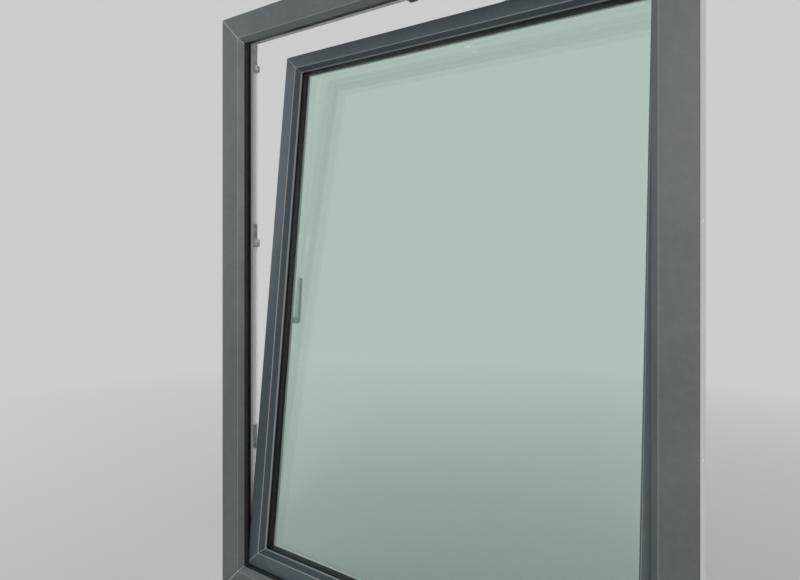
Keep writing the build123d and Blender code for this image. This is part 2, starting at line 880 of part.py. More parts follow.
def build_leaf():
    """The corner leaf: legs on the sash's edges, a plate through the flange gap, and the trunnion's eye."""
    eye_x = leaf_eye_x()
    eye_radius = pin_radius + leaf_eye_wall
    gap_plate = (flange_y - foot_clearance - leaf_gap_plate, flange_y - foot_clearance)
    inner_x = frame_width / 2 - sash_edge
    leg_y = (groove_y - plate_width / 2, gap_plate[1])
    low = sash_edge - leaf_thickness
    level = box((inner_x - leaf_leg, inner_x + leaf_thickness), leg_y, (low, sash_edge))
    tall = box((inner_x, inner_x + leaf_thickness), leg_y, (low, sash_edge + leaf_leg))
    gap = box(eye_x, gap_plate, (tilt_z - eye_radius, sash_edge))
    web = box(eye_x, (gap_plate[0], turn_y), (tilt_z - pin_radius, tilt_z + pin_radius))
    body = level + tall + gap + web + along_x(eye_radius, eye_x, turn_y, tilt_z)
    body -= along_x(pin_radius + pin_clearance, (eye_x[0] - 1, eye_x[1] + 1), turn_y, tilt_z)
    for place in leaf_screw_places():
        body -= place * leaf_screw()
    keep_sash_node("corner_leaf", body)
    keep_sash_node("leaf_screws", *[place * leaf_screw() for place in leaf_screw_places()])


def leaf_screw():
    """A screw through the leaf, pointing up from the leaf's outer face."""
    head = Pos(0, 0, screw_head_depth / 2) * Cone(screw_head_radius, screw_radius, screw_head_depth)
    return head + upright(screw_radius, 0, 0, (screw_head_depth / 2, screw_length))


def leaf_screw_places():
    inner_x = frame_width / 2 - sash_edge
    for reach in (0.45, 0.85):
        yield Pos(inner_x - leaf_leg * reach, groove_y, sash_edge - leaf_thickness)
        yield Pos(inner_x + leaf_thickness, groove_y, sash_edge + leaf_leg * reach) * Rot(0, -90, 0)


def stay_pin_place():
    """The end pin's place with the sash closed."""
    across = turn_y - groove_y
    return (turn_x - math.sqrt(stay_length**2 - across**2), groove_y)


def stay_swing():
    """Angle that the stay arm swings through as the sash tilts, in degrees."""
    height = sash_top - plate_thickness / 2 - tilt_z
    lean = math.radians(tilt_angle)
    across = turn_y - groove_y
    tilted = height * math.sin(lean) - across * math.cos(lean)
    return math.degrees(math.asin(tilted / stay_length) + math.asin(across / stay_length))


def stay_pin_run():
    """Places along the head of the end pin in the sash's guide, closed and tilted."""
    closed = math.sqrt(stay_length**2 - (turn_y - groove_y) ** 2)
    angle = math.radians(stay_swing()) - math.asin((turn_y - groove_y) / stay_length)
    return (turn_x - closed, turn_x - stay_length * math.cos(angle))


def build_stay():
    arm = stay_z()
    pin_x, pin_y = stay_pin_place()
    knuckle_z = stay_knuckle_z()
    crank_y = (flange_y - foot_clearance * 2 - leaf_gap_plate, flange_y - foot_clearance * 2)
    floor_x = frame_width / 2 - frame_floor
    drop = (knuckle_z[0] + crank_drop, arm[1])
    inner = (floor_x - crank_inset, floor_x - crank_inset + leaf_thickness)
    body = upright(stay_knuckle_radius, turn_x, turn_y, knuckle_z)
    body += box((inner[0], turn_x), crank_y, drop)
    body += box((turn_x - crank_width, turn_x), (crank_y[0], turn_y), drop)
    body += box(inner, (pin_y - stay_width / 2, crank_y[1]), drop)
    strip = box((pin_x, inner[1]), (pin_y - stay_width / 2, pin_y + stay_width / 2), arm)
    body += strip + upright(stay_width / 2, pin_x, pin_y, arm)
    body -= upright(stay_pin_radius + pin_clearance, turn_x, turn_y, (knuckle_z[0] - 1, knuckle_z[1] + 1))
    body -= upright(stay_pin_radius, pin_x, pin_y, (arm[0] - 1, arm[1] + 1))
    keep_stay_node("stay_arm", body)
    pin = upright(stay_pin_radius, pin_x, pin_y, (sash_top - stay_pin_drop, arm[1] + stay_rivet / 2))
    rivet = upright(stay_pin_radius + stay_rivet_lip, pin_x, pin_y, (arm[1], arm[1] + stay_rivet))
    keep_stay_node("stay_end_pin", pin + fillet(rivet.edges().group_by(Axis.Z)[-1], stay_rivet / 2))


def keep_stay_node(name, shape):
    keep_node(name, shape.rotate(turn_axis, stay_swing()))


def build_sash():
    section = sash_section()
    names = {
        "head": "sash_top_rail",
        "sill": "sash_bottom_rail",
        "lock": "sash_stile_lock",
        "hinge": "sash_stile_hinge",
    }
    steel = []
    for side, name in names.items():
        member = mitred(section, side)
        bar = steel_bar(sash_steel_section(), side, sash_steel_inset)
        holes = [groove_screw_hole(z) for z in side_screws()[side]]
        if side == "lock":
            holes += [gearbox_pocket(), handle_holes()]
        for hole in holes:
            member -= hole
            bar -= hole
        world = placed(side, member)
        for place in leaf_screw_places():
            world -= place * leaf_screw()
        steel.append(placed(side, bar))
        keep_sash_node(name, world)
    keep_sash_node("sash_steel", *steel)
    keep_sash_node("sash_gasket", ring(sash_gasket_section()) - hinge_notches())


def sash_gasket_section():
    x = flange_edge + sash_gasket_inset
    y = frame_depth + sash_gasket_play
    wide = sash_gasket_width
    round_edge = sash_gasket_lean / 2
    return outline(
        (x, flange_y),
        (x + sash_gasket_lean, y + sash_gasket_lean, round_edge),
        (x + wide / 2, y, round_edge),
        (x + wide - sash_gasket_lean, y + sash_gasket_lean, round_edge),
        (x + wide, flange_y),
    )


def hinge_notches():
    """Where the corner leaf and the stay arm pass through the inner gasket."""
    gap = (frame_depth, flange_y + 1)
    knuckle = stay_knuckle_z()
    low = box((leaf_eye_x()[0] - notch_margin, turn_x), gap, (0, sash_edge + notch_margin))
    high_x = (frame_width / 2 - sash_edge, turn_x)
    high = box(high_x, gap, (knuckle[0] - notch_margin, knuckle[1] + notch_margin))
    return low + high


def build_glazing():
    y_gasket = (glass_seat, outer_pane_y)
    lip = (nose - gasket_seat, nose + gasket_show)
    keep_sash_node("glazing_gasket_outer", ring(slab(lip, y_gasket)))
    panes = {"glass_outer": outer_pane_y, "glass_inner": inner_pane_y}
    for name, y in panes.items():
        x = frame_width / 2 - glass_edge
        z = (glass_edge, frame_height - glass_edge)
        keep_sash_node(name, box((-x, x), (y, y + pane), z))
    gap = (gap_y, inner_pane_y)
    bar_x = (glass_edge + spacer_depth, glass_edge + spacer_depth + spacer_height)
    hollow = slab(*[(low + spacer_wall, high - spacer_wall) for low, high in (bar_x, gap)])
    keep_sash_node("spacer_bar", ring(slab(bar_x, gap) - hollow))
    keep_sash_node("edge_seal", ring(slab((glass_edge, bar_x[0]), gap)))
    bead_edge = glazing_floor + bead_height
    inner_lip = (bead_edge - gasket_seat, bead_edge + gasket_show)
    keep_sash_node("glazing_gasket_inner", ring(slab(inner_lip, (glass_back, bead_y))))
    sides = {"bead_top": "head", "bead_bottom": "sill", "bead_lock": "lock", "bead_hinge": "hinge"}
    for name, side in sides.items():
        keep_sash_node(name, placed(side, mitred(bead_section(), side)))
    build_blocks()


def bead_section():
    """A snap-in glazing bead with a bevelled edge and one chamber."""
    top = glazing_floor + bead_height
    body = outline(
        (glazing_floor, bead_y),
        (top, bead_y, edge_radius),
        (top, sash_back - bead_bevel, edge_radius),
        (top - bead_bevel, sash_back, edge_radius),
        (glazing_floor, sash_back),
    )
    body -= outline(
        (glazing_floor + bead_wall, bead_y + bead_wall),
        (top - bead_wall, bead_y + bead_wall),
        (top - bead_wall, sash_back - bead_bevel - bead_wall / 2),
        (top - bead_bevel - bead_wall / 2, sash_back - bead_wall),
        (glazing_floor + bead_wall, sash_back - bead_wall),
    )
    return body + bead_groove(0)


def build_blocks():
    """Setting blocks between the glass edge and the rebate floor, two on each side."""
    blocks = []
    for side in ("sill", "head", "lock", "hinge"):
        for middle in (glazing_floor + block_offset, side_length(side) - glazing_floor - block_offset):
            z = (middle - block_length / 2, middle + block_length / 2)
            blocks.append(placed(side, box((glazing_floor, glass_edge), (outer_pane_y, glass_back), z)))
    keep_sash_node("setting_blocks", *blocks)


def plate_ends():
    """Where each side's faceplate starts and stops along that side."""
    leg = sash_edge + drive_leg
    stay = frame_width / 2 + stay_pin_run()[0] - guide_margin
    return {
        "lock": (leg, frame_height - leg),
        "head": (leg, stay),
        "sill": (sash_edge + leaf_leg + plate_gap, frame_width - leg),
        "hinge": (leg, frame_height - sash_edge - leaf_leg - plate_gap),
    }


def plate_screws():
    """Faceplate screws along each side, clear of the cams' slots and the gearbox."""
    ends = plate_ends()
    places = {side: [low + plate_screw_inset, high - plate_screw_inset] for side, (low, high) in ends.items()}
    beside_case = case_half_height + case_screw_gap
    places["lock"] += [handle_height - beside_case, handle_height + beside_case]
    places["head"][1] = cam_place(head_z()) - rod_travel - plate_screw_inset
    places["hinge"].append(sum(ends["hinge"]) / 2)
    return places


def drive_screws():
    """Screws through the corner drives' legs, near the legs' ends."""
    near = sash_edge + drive_leg - drive_screw_inset
    return {"lock": [near, frame_height - near], "head": [near], "sill": [frame_width - near], "hinge": []}


def side_screws():
    drives = drive_screws()
    return {side: places + drives[side] for side, places in plate_screws().items()}


def groove_screw_hole(place):
    return along_x(screw_radius, (sash_edge + plate_thickness, sash_edge + screw_length), groove_y, place)


def gearbox_pocket():
    half = case_half_height + case_gap
    y = (groove_y - channel_width / 2, groove_y + channel_width / 2)
    return box((sash_edge, case_x + case_depth + case_gap), y, (handle_height - half, handle_height + half))


def handle_holes():
    y = (groove_y, sash_back + 1)
    holes = along_y(spindle_hole, handle_x, y, handle_height)
    for place in handle_screw_places():
        holes += along_y(handle_screw_radius, handle_x, y, place)
    return holes


def handle_screw_places():
    return (handle_height - handle_screw_spacing / 2, handle_height + handle_screw_spacing / 2)


def cams_on():
    """Each side's cams: place along the side with the handle up, and travel to the locked end."""
    return {
        "lock": ([cam_place(height) for height in keep_heights.values()], -rod_travel),
        "head": ([cam_place(head_z())], -rod_travel),
        "sill": ([sill_z() + keep_length / 2 - keep_cheek - cam_head - slot_clearance], -rod_travel),
    }


def rod_ends():
    """Where each rod starts and stops along its side with the handle up, clear of the corner drives."""
    near = sash_edge + drive_bend + drive_end
    ends = plate_ends()
    return {
        "lock": (near + rod_travel, frame_height - near),
        "head": (near + rod_travel, ends["head"][1] - rod_end_gap),
        "sill": (ends["sill"][0] + rod_travel + rod_end_gap, frame_width - near),
    }


def build_hardware():
    cams = cams_on()
    ends = plate_ends()
    rods = rod_ends()
    screws = side_screws()
    for side, (places, _) in cams.items():
        body = rod(rods[side], screws[side])
        for z in places:
            body += cam(rod_x, z)
        keep_sash_node(side + "_rod", placed(side, body))
    for side, places in plate_screws().items():
        slots, travel = cams.get(side, ([], 0))
        keep_sash_node("faceplate_" + side, placed(side, faceplate(ends[side], slots, travel, places)))
    held = [placed(side, groove_screw(z)) for side, places in screws.items() for z in places]
    keep_sash_node("faceplate_screws", *held)
    build_corner_drives(cams)
    build_stay_guide()
    build_gearbox()


def build_corner_drives(cams):
    corner_x = sash_edge - frame_width / 2
    cuts = [placed(side, cam_slot(z, travel)) for side, (places, travel) in cams.items() for z in places]
    cuts += [placed(side, groove_screw(z)) for side, places in drive_screws().items() for z in places]
    for name, corner_z, up in (("corner_drive_upper", sash_top, 1), ("corner_drive_lower", sash_edge, -1)):
        drive = bent_plate(corner_x, corner_z, drive_leg, up)
        for cut in cuts:
            drive -= cut
        keep_sash_node(name, drive)


def build_stay_guide():
    """The slotted strip on the top rail that the stay's end pin slides in."""
    closed, tilted = stay_pin_run()
    x = (frame_width / 2 + closed - guide_margin, frame_width / 2 + tilted + guide_margin)
    y = (groove_y - plate_width / 2, groove_y + plate_width / 2)
    strip = box((sash_edge, sash_edge + plate_thickness), y, x)
    cut_x = (sash_edge - 1, sash_edge + plate_thickness + 1)
    radius = stay_pin_radius + stay_slot_clearance
    run = (frame_width / 2 + closed, frame_width / 2 + tilted)
    strip -= box(cut_x, (groove_y - radius, groove_y + radius), run)
    strip -= along_x(radius, cut_x, groove_y, run[0]) + along_x(radius, cut_x, groove_y, run[1])
    keep_sash_node("stay_guide", placed("head", strip))


def build_gearbox():
    x = (case_x, case_x + case_depth)
    y = (groove_y - case_width / 2, groove_y + case_width / 2)
    case = box(x, y, (handle_height - case_half_height, handle_height + case_half_height))
    through = (y[0] - 1, y[1] + 1)
    case -= along_y(pinion_radius + pin_clearance, handle_x, through, handle_height)
    for place in handle_screw_places():
        case -= along_y(handle_screw_radius, handle_x, through, place)
    keep_sash_node("gearbox_case", placed("lock", case))
    build_handle(y)


def build_handle(case_y):
    pinion = along_y(pinion_radius, handle_x, case_y, handle_height)
    pinion -= square_bar(spindle_clearance, (case_y[0] - 1, case_y[1] + 1))
    keep_sash_node("gearbox_pinion", placed("lock", pinion))
    spindle_y = (case_y[0], sash_back + neck_length / 2)
    keep_sash_node("handle_spindle", placed("lock", square_bar(0, spindle_y)))
    build_rose()
    build_lever()


def square_bar(clearance, y):
    """The handle's square spindle, or with a clearance the hole for it."""
    half = spindle / 2 + clearance
    return box((handle_x - half, handle_x + half), y, (handle_height - half, handle_height + half))


def rounded_plate(inset, y, corner):
    """The rose's outline, brought in by an inset."""
    width = rose_width / 2 - inset
    height = rose_height / 2 - inset
    plate = box((handle_x - width, handle_x + width), y, (handle_height - height, handle_height + height))
    return fillet(plate.edges().filter_by(Axis.Y), corner)


def build_rose():
    cover_y = (sash_back, sash_back + rose_thickness + rose_cover)
    inner = rounded_plate(rose_cover, (sash_back, sash_back + rose_thickness), rose_corner - rose_cover)
    neck = along_y(neck_radius + pin_clearance, handle_x, (sash_back - 1, cover_y[1] + 1), handle_height)
    cover = rounded_plate(0, cover_y, rose_corner)
    cover = fillet(cover.faces().sort_by(Axis.Y)[-1].edges(), rose_cover * 0.8) - inner
    screws = []
    top = sash_back + rose_thickness
    for place in handle_screw_places():
        head = along_y(2 * handle_screw_radius, handle_x, (top - handle_screw_radius, top), place)
        screws.append(head + along_y(handle_screw_radius, handle_x, (groove_y - case_width / 2, top), place))
    base = inner - neck
    for bolt in screws:
        base -= bolt
    keep_sash_node("handle_rose", placed("lock", base))
    keep_sash_node("handle_rose_cover", placed("lock", cover - neck))
    keep_sash_node("handle_screws", *[placed("lock", bolt) for bolt in screws])


def build_lever():
    """The lever: a round neck through the rose and a tapering grip that points up."""
    z = handle_height
    start = sash_back + rose_gap
    arm_y = (sash_back + neck_length, sash_back + neck_length + lever_thickness)
    neck = along_y(neck_radius, handle_x, (start, arm_y[0] + lever_thickness / 2), z)
    grip = Polygon(
        (handle_x - lever_root, z),
        (handle_x + lever_root, z),
        (handle_x + lever_tip, z + lever_length),
        (handle_x - lever_tip, z + lever_length),
        align=None,
    )
    grip += Pos(handle_x, z) * Circle(lever_root) + Pos(handle_x, z + lever_length) * Circle(lever_tip)
    front = Plane(origin=(0, arm_y[1], 0), x_dir=(1, 0, 0), z_dir=(0, -1, 0))
    arm = extrude(front * grip, amount=lever_thickness)
    arm = fillet(arm.faces().filter_by(Axis.Y).edges(), lever_fillet)
    hole = square_bar(spindle_clearance, (start - 1, sash_back + neck_length / 2 + spindle_clearance))
    keep_sash_node("handle_lever", placed("lock", neck + arm - hole))


def main():
    build_frame()
    build_hinges()
    build_sash()
    build_glazing()
    build_hardware()
    os.makedirs("parts", exist_ok=True)
    for name, shape in nodes.items():
        export_step(shape, os.path.join("parts", name + ".step"))
    print(len(nodes), "nodes; stay swing", round(stay_swing(), 4), "degrees")


main()
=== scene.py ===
"""Materials, stage, lamps and camera for the tilt and turn window."""

import json
import math

import bpy
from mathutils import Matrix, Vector

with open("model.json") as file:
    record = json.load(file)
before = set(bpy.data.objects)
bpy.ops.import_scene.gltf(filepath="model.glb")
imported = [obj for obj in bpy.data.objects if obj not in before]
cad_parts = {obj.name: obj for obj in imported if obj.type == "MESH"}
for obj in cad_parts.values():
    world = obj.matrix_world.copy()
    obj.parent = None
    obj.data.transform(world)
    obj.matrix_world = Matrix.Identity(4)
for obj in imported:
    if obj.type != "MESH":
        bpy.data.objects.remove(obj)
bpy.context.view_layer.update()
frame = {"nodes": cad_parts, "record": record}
nodes = frame["nodes"]

# Sizes that the looks need, in metres, as in the part's source.
HALF_WIDTH = 0.575
HEIGHT = 1.530
LEAN = math.radians(6.0)
TILT_AXIS = (0.050, 0.036)
OUTER_FACE = -0.038

# Depths, measured inward from the outer face.
FRAME_BEVEL = 0.0125
FRAME_LIP_BACK = 0.023
SASH_FRONT = 0.028
SASH_LIP_BACK = 0.0528
FOIL_WRAP = 0.0032

# Distances from the frame's outer rim.
FRAME_LIP_START = 0.056
FRAME_FACE = 0.061
FRAME_LIP_EDGE = 0.0735
SASH_LIP_START = 0.0755
SASH_STEP = 0.0995
SASH_NOSE = 0.1065

OUTER_SIDE = 0.001

# Painted highlights along the profiles' edges, drawn as light lines: distance from the rim, half width,
# strength.
SASH_HIGHLIGHT_LINES = ((SASH_STEP, 0.0006, 0.75), (SASH_NOSE, 0.0006, 0.9))
FRAME_HIGHLIGHT_LINES = ((FRAME_FACE, 0.0005, 0.45),)
LINE_SOFT = 0.0004
SEAM_WIDTH = 0.0008
SEAM_SOFT = 0.0003
SHADE_SOFT = 0.0008
LIP_MARGIN = 0.0005

# The foil's grain, in waves to the metre across and along a profile.
GRAIN_ACROSS = 900
GRAIN_ALONG = 60

# Tones, in pairs where a material drifts from one to the other.
FRAME_FOIL = ((0.069, 0.082, 0.084), (0.086, 0.101, 0.103))
SASH_FOIL = ((0.053, 0.073, 0.085), (0.066, 0.090, 0.104))
DUST_TONE = (0.20, 0.205, 0.20)
GRAIN_TONE = (0.05, 0.058, 0.063)
SEAM_TONE = (0.50, 0.52, 0.53)
# Painted shade for the return of the frame's lip.
PAINTED_LIP_SHADE = (0.012, 0.013, 0.014)
# Painted highlight tone for the light lines along the profiles' edges.
EDGE_HIGHLIGHT_TONE = (0.36, 0.37, 0.38)
WHITE_PROFILE = ((0.76, 0.785, 0.80), (0.83, 0.845, 0.85))
WHITE_SEAM = (0.60, 0.62, 0.63)
WHITE_MOULDED = ((0.775, 0.795, 0.81), (0.84, 0.855, 0.86))
WHITE_PAINT = ((0.80, 0.81, 0.81), (0.85, 0.855, 0.85))
GREY_PLASTIC = ((0.095, 0.105, 0.112), (0.125, 0.135, 0.142))
BLACK_RUBBER = ((0.012, 0.0125, 0.013), (0.05, 0.05, 0.048))
ZINC_PLATE = ((0.46, 0.47, 0.48), (0.32, 0.33, 0.345))
CAST_ZINC = ((0.60, 0.61, 0.62), (0.44, 0.45, 0.47))
SPACER_BLACK = ((0.03, 0.031, 0.033), (0.02, 0.021, 0.022))
GLASS_TINT = (0.845, 0.94, 0.89)

# Camera, fitted to the photograph.
CAMERA_PLACE = (0.6916, -1.0436, 0.9139)
CAMERA_YAW = math.radians(34.3)
CAMERA_SENSOR = 36.0
CAMERA_LENS = 25.73
CAMERA_SHIFT = -0.0519

# Lamps: name, location, target, size, power, colour.
LAMPS = (
    ("key", (1.45, -3.9, 1.8), (0, 0, 0.75), (1.3, 1.3), 122.0, (1.0, 0.975, 0.94)),
    ("fill", (-3.3, -0.8, 1.6), (0, 0, 0.8), (1.6, 2.4), 30.0, (0.92, 0.96, 1.0)),
    ("room", (-1.8, 2.9, 3.4), (0, 0.1, 0.7), (1.8, 1.8), 60.0, (1.0, 1.0, 1.0)),
)

# The stage.
FLOOR_SIZE = 60.0
BACKDROP_TONE = (0.60, 0.605, 0.61)
FLOOR_TONE = (0.50, 0.50, 0.495)
FLOOR_NEAR = 0.9
FLOOR_FAR = 3.4
SKY_LIGHT = (0.92, 0.95, 1.0)
SKY_STRENGTH = 0.5


def camera():
    data = bpy.data.cameras.new("camera")
    data.sensor_width = CAMERA_SENSOR
    data.lens = CAMERA_LENS
    data.shift_y = CAMERA_SHIFT
    data.clip_start = 0.01
    data.clip_end = 50.0
    obj = bpy.data.objects.new("camera", data)
    obj.location = CAMERA_PLACE
    obj.rotation_euler = (math.radians(90), 0, CAMERA_YAW)
    bpy.context.scene.collection.objects.link(obj)
    bpy.context.scene.camera = obj


class Nodes:
    """A material's node tree with short calls for the nodes used here."""

    def __init__(self, name):
        self.material = bpy.data.materials.new(name)
        self.material.use_nodes = True
        self.tree = self.material.node_tree
        self.tree.nodes.clear()
        self.output = self.tree.nodes.new("ShaderNodeOutputMaterial")

    def link(self, value, socket):
        if isinstance(value, bpy.types.NodeSocket):
            self.tree.links.new(value, socket)
        elif isinstance(value, (int, float)):
            socket.default_value = value
        else:
            value = tuple(value)
            size = len(socket.default_value)
            socket.default_value = value if len(value) == size else value + (1.0,)

    def math(self, operation, a, b=0.0, c=0.0):
        node = self.tree.nodes.new("ShaderNodeMath")
        node.operation = operation
        for value, socket in zip((a, b, c), node.inputs):
            self.link(value, socket)
        return node.outputs[0]

    def vector(self, operation, a, b):
        node = self.tree.nodes.new("ShaderNodeVectorMath")
        node.operation = operation
        self.link(a, node.inputs[0])
        self.link(b, node.inputs[1])
        return node.outputs["Value"] if operation == "DOT_PRODUCT" else node.outputs[0]

    def place(self):
        return self.tree.nodes.new("ShaderNodeTexCoord").outputs["Object"]

    def split(self, vector):
        node = self.tree.nodes.new("ShaderNodeSeparateXYZ")
        self.link(vector, node.inputs[0])
        return node.outputs

    def join(self, x, y, z):
        node = self.tree.nodes.new("ShaderNodeCombineXYZ")
        for value, socket in zip((x, y, z), node.inputs):
            self.link(value, socket)
        return node.outputs[0]

    def noise(self, vector, scale, detail=3.0, roughness=0.55):
        node = self.tree.nodes.new("ShaderNodeTexNoise")
        self.link(vector, node.inputs["Vector"])
        node.inputs["Scale"].default_value = scale
        node.inputs["Detail"].default_value = detail
        node.inputs["Roughness"].default_value = roughness
        return node.outputs["Fac"]

    def ramp(self, value, low, high, out_low=0.0, out_high=1.0):
        node = self.tree.nodes.new("ShaderNodeMapRange")
        self.link(value, node.inputs["Value"])
        limits = {"From Min": low, "From Max": high, "To Min": out_low, "To Max": out_high}
        for name, number in limits.items():
            self.link(number, node.inputs[name])
        return node.outputs[0]

    def drift(self, noise, low, high):
        """A value that wanders between two limits with a noise."""
        return self.ramp(noise, 0.3, 0.7, low, high)

    def mix(self, factor, a, b):
        node = self.tree.nodes.new("ShaderNodeMix")
        node.data_type = "RGBA"
        self.link(factor, node.inputs[0])
        self.link(a, node.inputs[6])
        self.link(b, node.inputs[7])
        return node.outputs[2]

    def bump(self, height, strength, distance, normal=None):
        node = self.tree.nodes.new("ShaderNodeBump")
        node.inputs["Strength"].default_value = strength
        node.inputs["Distance"].default_value = distance
        self.link(height, node.inputs["Height"])
        if normal is not None:
            self.link(normal, node.inputs["Normal"])
        return node.outputs[0]

    def edges(self, radius):
        """A softened normal, as on a real edge."""
        node = self.tree.nodes.new("ShaderNodeBevel")
        node.samples = 4
        node.inputs["Radius"].default_value = radius
        return node.outputs[0]

    def shader(self, **values):
        node = self.tree.nodes.new("ShaderNodeBsdfPrincipled")
        for name, value in values.items():
            self.link(value, node.inputs[name.replace("_", " ")])
        self.tree.links.new(node.outputs[0], self.output.inputs["Surface"])
        return self.material


def rim_distances(n, x, z):
    """Distances from the frame's outer rim, across and up, and the nearer of the two."""
    across = n.math("SUBTRACT", HALF_WIDTH, n.math("ABSOLUTE", x))
    up = n.math("MINIMUM", z, n.math("SUBTRACT", HEIGHT, z))
    return across, up, n.math("MINIMUM", across, up)


def closed_place(n, leaning):
    """Object coordinates, turned back to the closed sash for a piece that leans."""
    place = n.place()
    if not leaning:
        return place, n.split(place)
    y, z = TILT_AXIS
    c = math.cos(LEAN)
    s = math.sin(LEAN)
    x = n.vector("DOT_PRODUCT", place, (1, 0, 0))
    depth = n.math("ADD", n.vector("DOT_PRODUCT", place, (0, c, -s)), y - y * c + z * s)
    height = n.math("ADD", n.vector("DOT_PRODUCT", place, (0, s, c)), z - y * s - z * c)
    joined = n.join(x, depth, height)
    return joined, n.split(joined)


def below(n, value, edge, soft=0.00015):
    return n.ramp(value, edge - soft, edge + soft, 1.0, 0.0)


def above(n, value, edge, soft=0.00015):
    return n.ramp(value, edge - soft, edge + soft, 0.0, 1.0)


def profile_material(name, leaning, tones):
    """Window profile: satin anthracite foil outside, white plastic in the rebate and the room.

    The mitre seams are drawn as light marks, the profile's edges get painted highlights, and painted shade
    darkens the return of the frame's lip.
    """
    n = Nodes(name)
    place, (x, y, z) = closed_place(n, leaning)
    depth = n.math("SUBTRACT", y, OUTER_FACE)
    across, up, rim = rim_distances(n, x, z)
    if leaning:
        face = below(n, depth, SASH_FRONT + FOIL_WRAP)
        lip = n.math("MULTIPLY", below(n, depth, SASH_LIP_BACK), above(n, rim, SASH_LIP_START))
        highlight_lines = SASH_HIGHLIGHT_LINES
        shade = 0.0
    else:
        face = below(n, depth, FOIL_WRAP)
        before_back = below(n, depth, FRAME_LIP_BACK + LIP_MARGIN)
        lip = n.math("MULTIPLY", before_back, above(n, rim, FRAME_LIP_START))
        highlight_lines = FRAME_HIGHLIGHT_LINES
        # Painted shade: the return of the frame's lip, behind the bevel, is darkened.
        behind_bevel = above(n, depth, FRAME_BEVEL, SHADE_SOFT)
        shade = n.math("MULTIPLY", behind_bevel, above(n, rim, FRAME_LIP_EDGE - LIP_MARGIN))
    foil = n.math("MAXIMUM", face, lip)
    gap = n.math("ABSOLUTE", n.math("SUBTRACT", across, up))
    seam = below(n, gap, SEAM_WIDTH, SEAM_SOFT)
    run = n.math("LESS_THAN", up, across)
    upright = n.vector("MULTIPLY", place, (GRAIN_ACROSS, GRAIN_ACROSS, GRAIN_ALONG))
    level = n.vector("MULTIPLY", place, (GRAIN_ALONG, GRAIN_ACROSS, GRAIN_ACROSS))
    grain = n.noise(n.mix(run, upright, level), scale=1.0, detail=4.0, roughness=0.6)
    cloud = n.noise(place, scale=5.0, detail=4.0, roughness=0.6)
    fine = n.noise(place, scale=1400.0, detail=2.0)
    dust = n.ramp(n.noise(place, scale=60.0, detail=5.0, roughness=0.7), low=0.45, high=0.75)
    dark = n.mix(n.ramp(cloud, low=0.3, high=0.7), *tones)
    dark = n.mix(n.math("MULTIPLY", dust, 0.12), dark, DUST_TONE)
    dark = n.mix(n.math("MULTIPLY", grain, 0.12), dark, GRAIN_TONE)
    dark = n.mix(n.math("MULTIPLY", seam, 0.9), dark, SEAM_TONE)
    # Painted shade on the lip's return.
    dark = n.mix(n.math("MULTIPLY", shade, 0.85), dark, PAINTED_LIP_SHADE)
    # Painted highlights: light lines along the profile's rounded edges.
    for edge, width, strength in highlight_lines:
        edge_highlight = below(n, n.math("ABSOLUTE", n.math("SUBTRACT", rim, edge)), width, LINE_SOFT)
        dark = n.mix(n.math("MULTIPLY", edge_highlight, strength), dark, EDGE_HIGHLIGHT_TONE)
    white = n.mix(n.ramp(cloud, low=0.3, high=0.75), *WHITE_PROFILE)
    white = n.mix(n.math("MULTIPLY", seam, 0.35), white, WHITE_SEAM)
    colour = n.mix(foil, white, dark)
    rough = n.drift(n.noise(place, scale=24.0, detail=4.0), 0.30, 0.42)
    rough = n.math("ADD", rough, n.math("MULTIPLY", foil, 0.08))
    rough = n.math("ADD", rough, n.math("MULTIPLY", below(n, rim, OUTER_SIDE), 0.28))
    foil_grain = n.math("MULTIPLY", grain, n.math("MULTIPLY", foil, 0.8))
    height = n.math("ADD", foil_grain, n.math("MULTIPLY", fine, 0.25))
    height = n.math("SUBTRACT", height, n.math("MULTIPLY", seam, 2.0))
    normal = n.bump(height, strength=0.22, distance=0.00025, normal=n.edges(0.0006))
    return n.shader(Base_Color=colour, Roughness=rough, Normal=normal, Specular_IOR_Level=0.38)


def white_plastic():
    n = Nodes("white_plastic_moulded")
    place = n.place()
    cloud = n.noise(place, scale=7.0, detail=4.0)
    colour = n.mix(n.ramp(cloud, low=0.3, high=0.7), *WHITE_MOULDED)
    rough = n.drift(n.noise(place, scale=40.0), 0.24, 0.34)
    fine = n.noise(place, scale=900.0, detail=2.0)
    normal = n.bump(fine, strength=0.12, distance=0.0002, normal=n.edges(0.0006))
    return n.shader(Base_Color=colour, Roughness=rough, Normal=normal)


def white_paint():
    n = Nodes("white_powder_coat")
    place = n.place()
    colour = n.mix(n.ramp(n.noise(place, scale=16.0), low=0.3, high=0.7), *WHITE_PAINT)
    rough = n.drift(n.noise(place, scale=120.0), 0.26, 0.36)
    fine = n.noise(place, scale=1600.0)
    normal = n.bump(fine, strength=0.18, distance=0.0002, normal=n.edges(0.0008))
    return n.shader(Base_Color=colour, Roughness=rough, Normal=normal, Coat_Weight=0.3, Coat_Roughness=0.15)


def grey_plastic():
    n = Nodes("grey_plastic_matt")
    place = n.place()
    cloud = n.noise(place, scale=30.0, detail=4.0)
    colour = n.mix(n.ramp(cloud, low=0.3, high=0.7), *GREY_PLASTIC)
    fine = n.noise(place, scale=1100.0)
    normal = n.bump(fine, strength=0.25, distance=0.0002, normal=n.edges(0.0005))
    return n.shader(Base_Color=colour, Roughness=0.5, Normal=normal)


def rubber():
    n = Nodes("black_epdm")
    place = n.place()
    dust = n.ramp(n.noise(place, scale=90.0, detail=5.0, roughness=0.7), low=0.45, high=0.8)
    colour = n.mix(n.math("MULTIPLY", dust, 0.3), *BLACK_RUBBER)
    rough = n.drift(n.noise(place, scale=200.0), 0.5, 0.68)
    normal = n.bump(n.noise(place, scale=1500.0), strength=0.3, distance=0.0002)
    return n.shader(Base_Color=colour, Roughness=rough, Normal=normal)


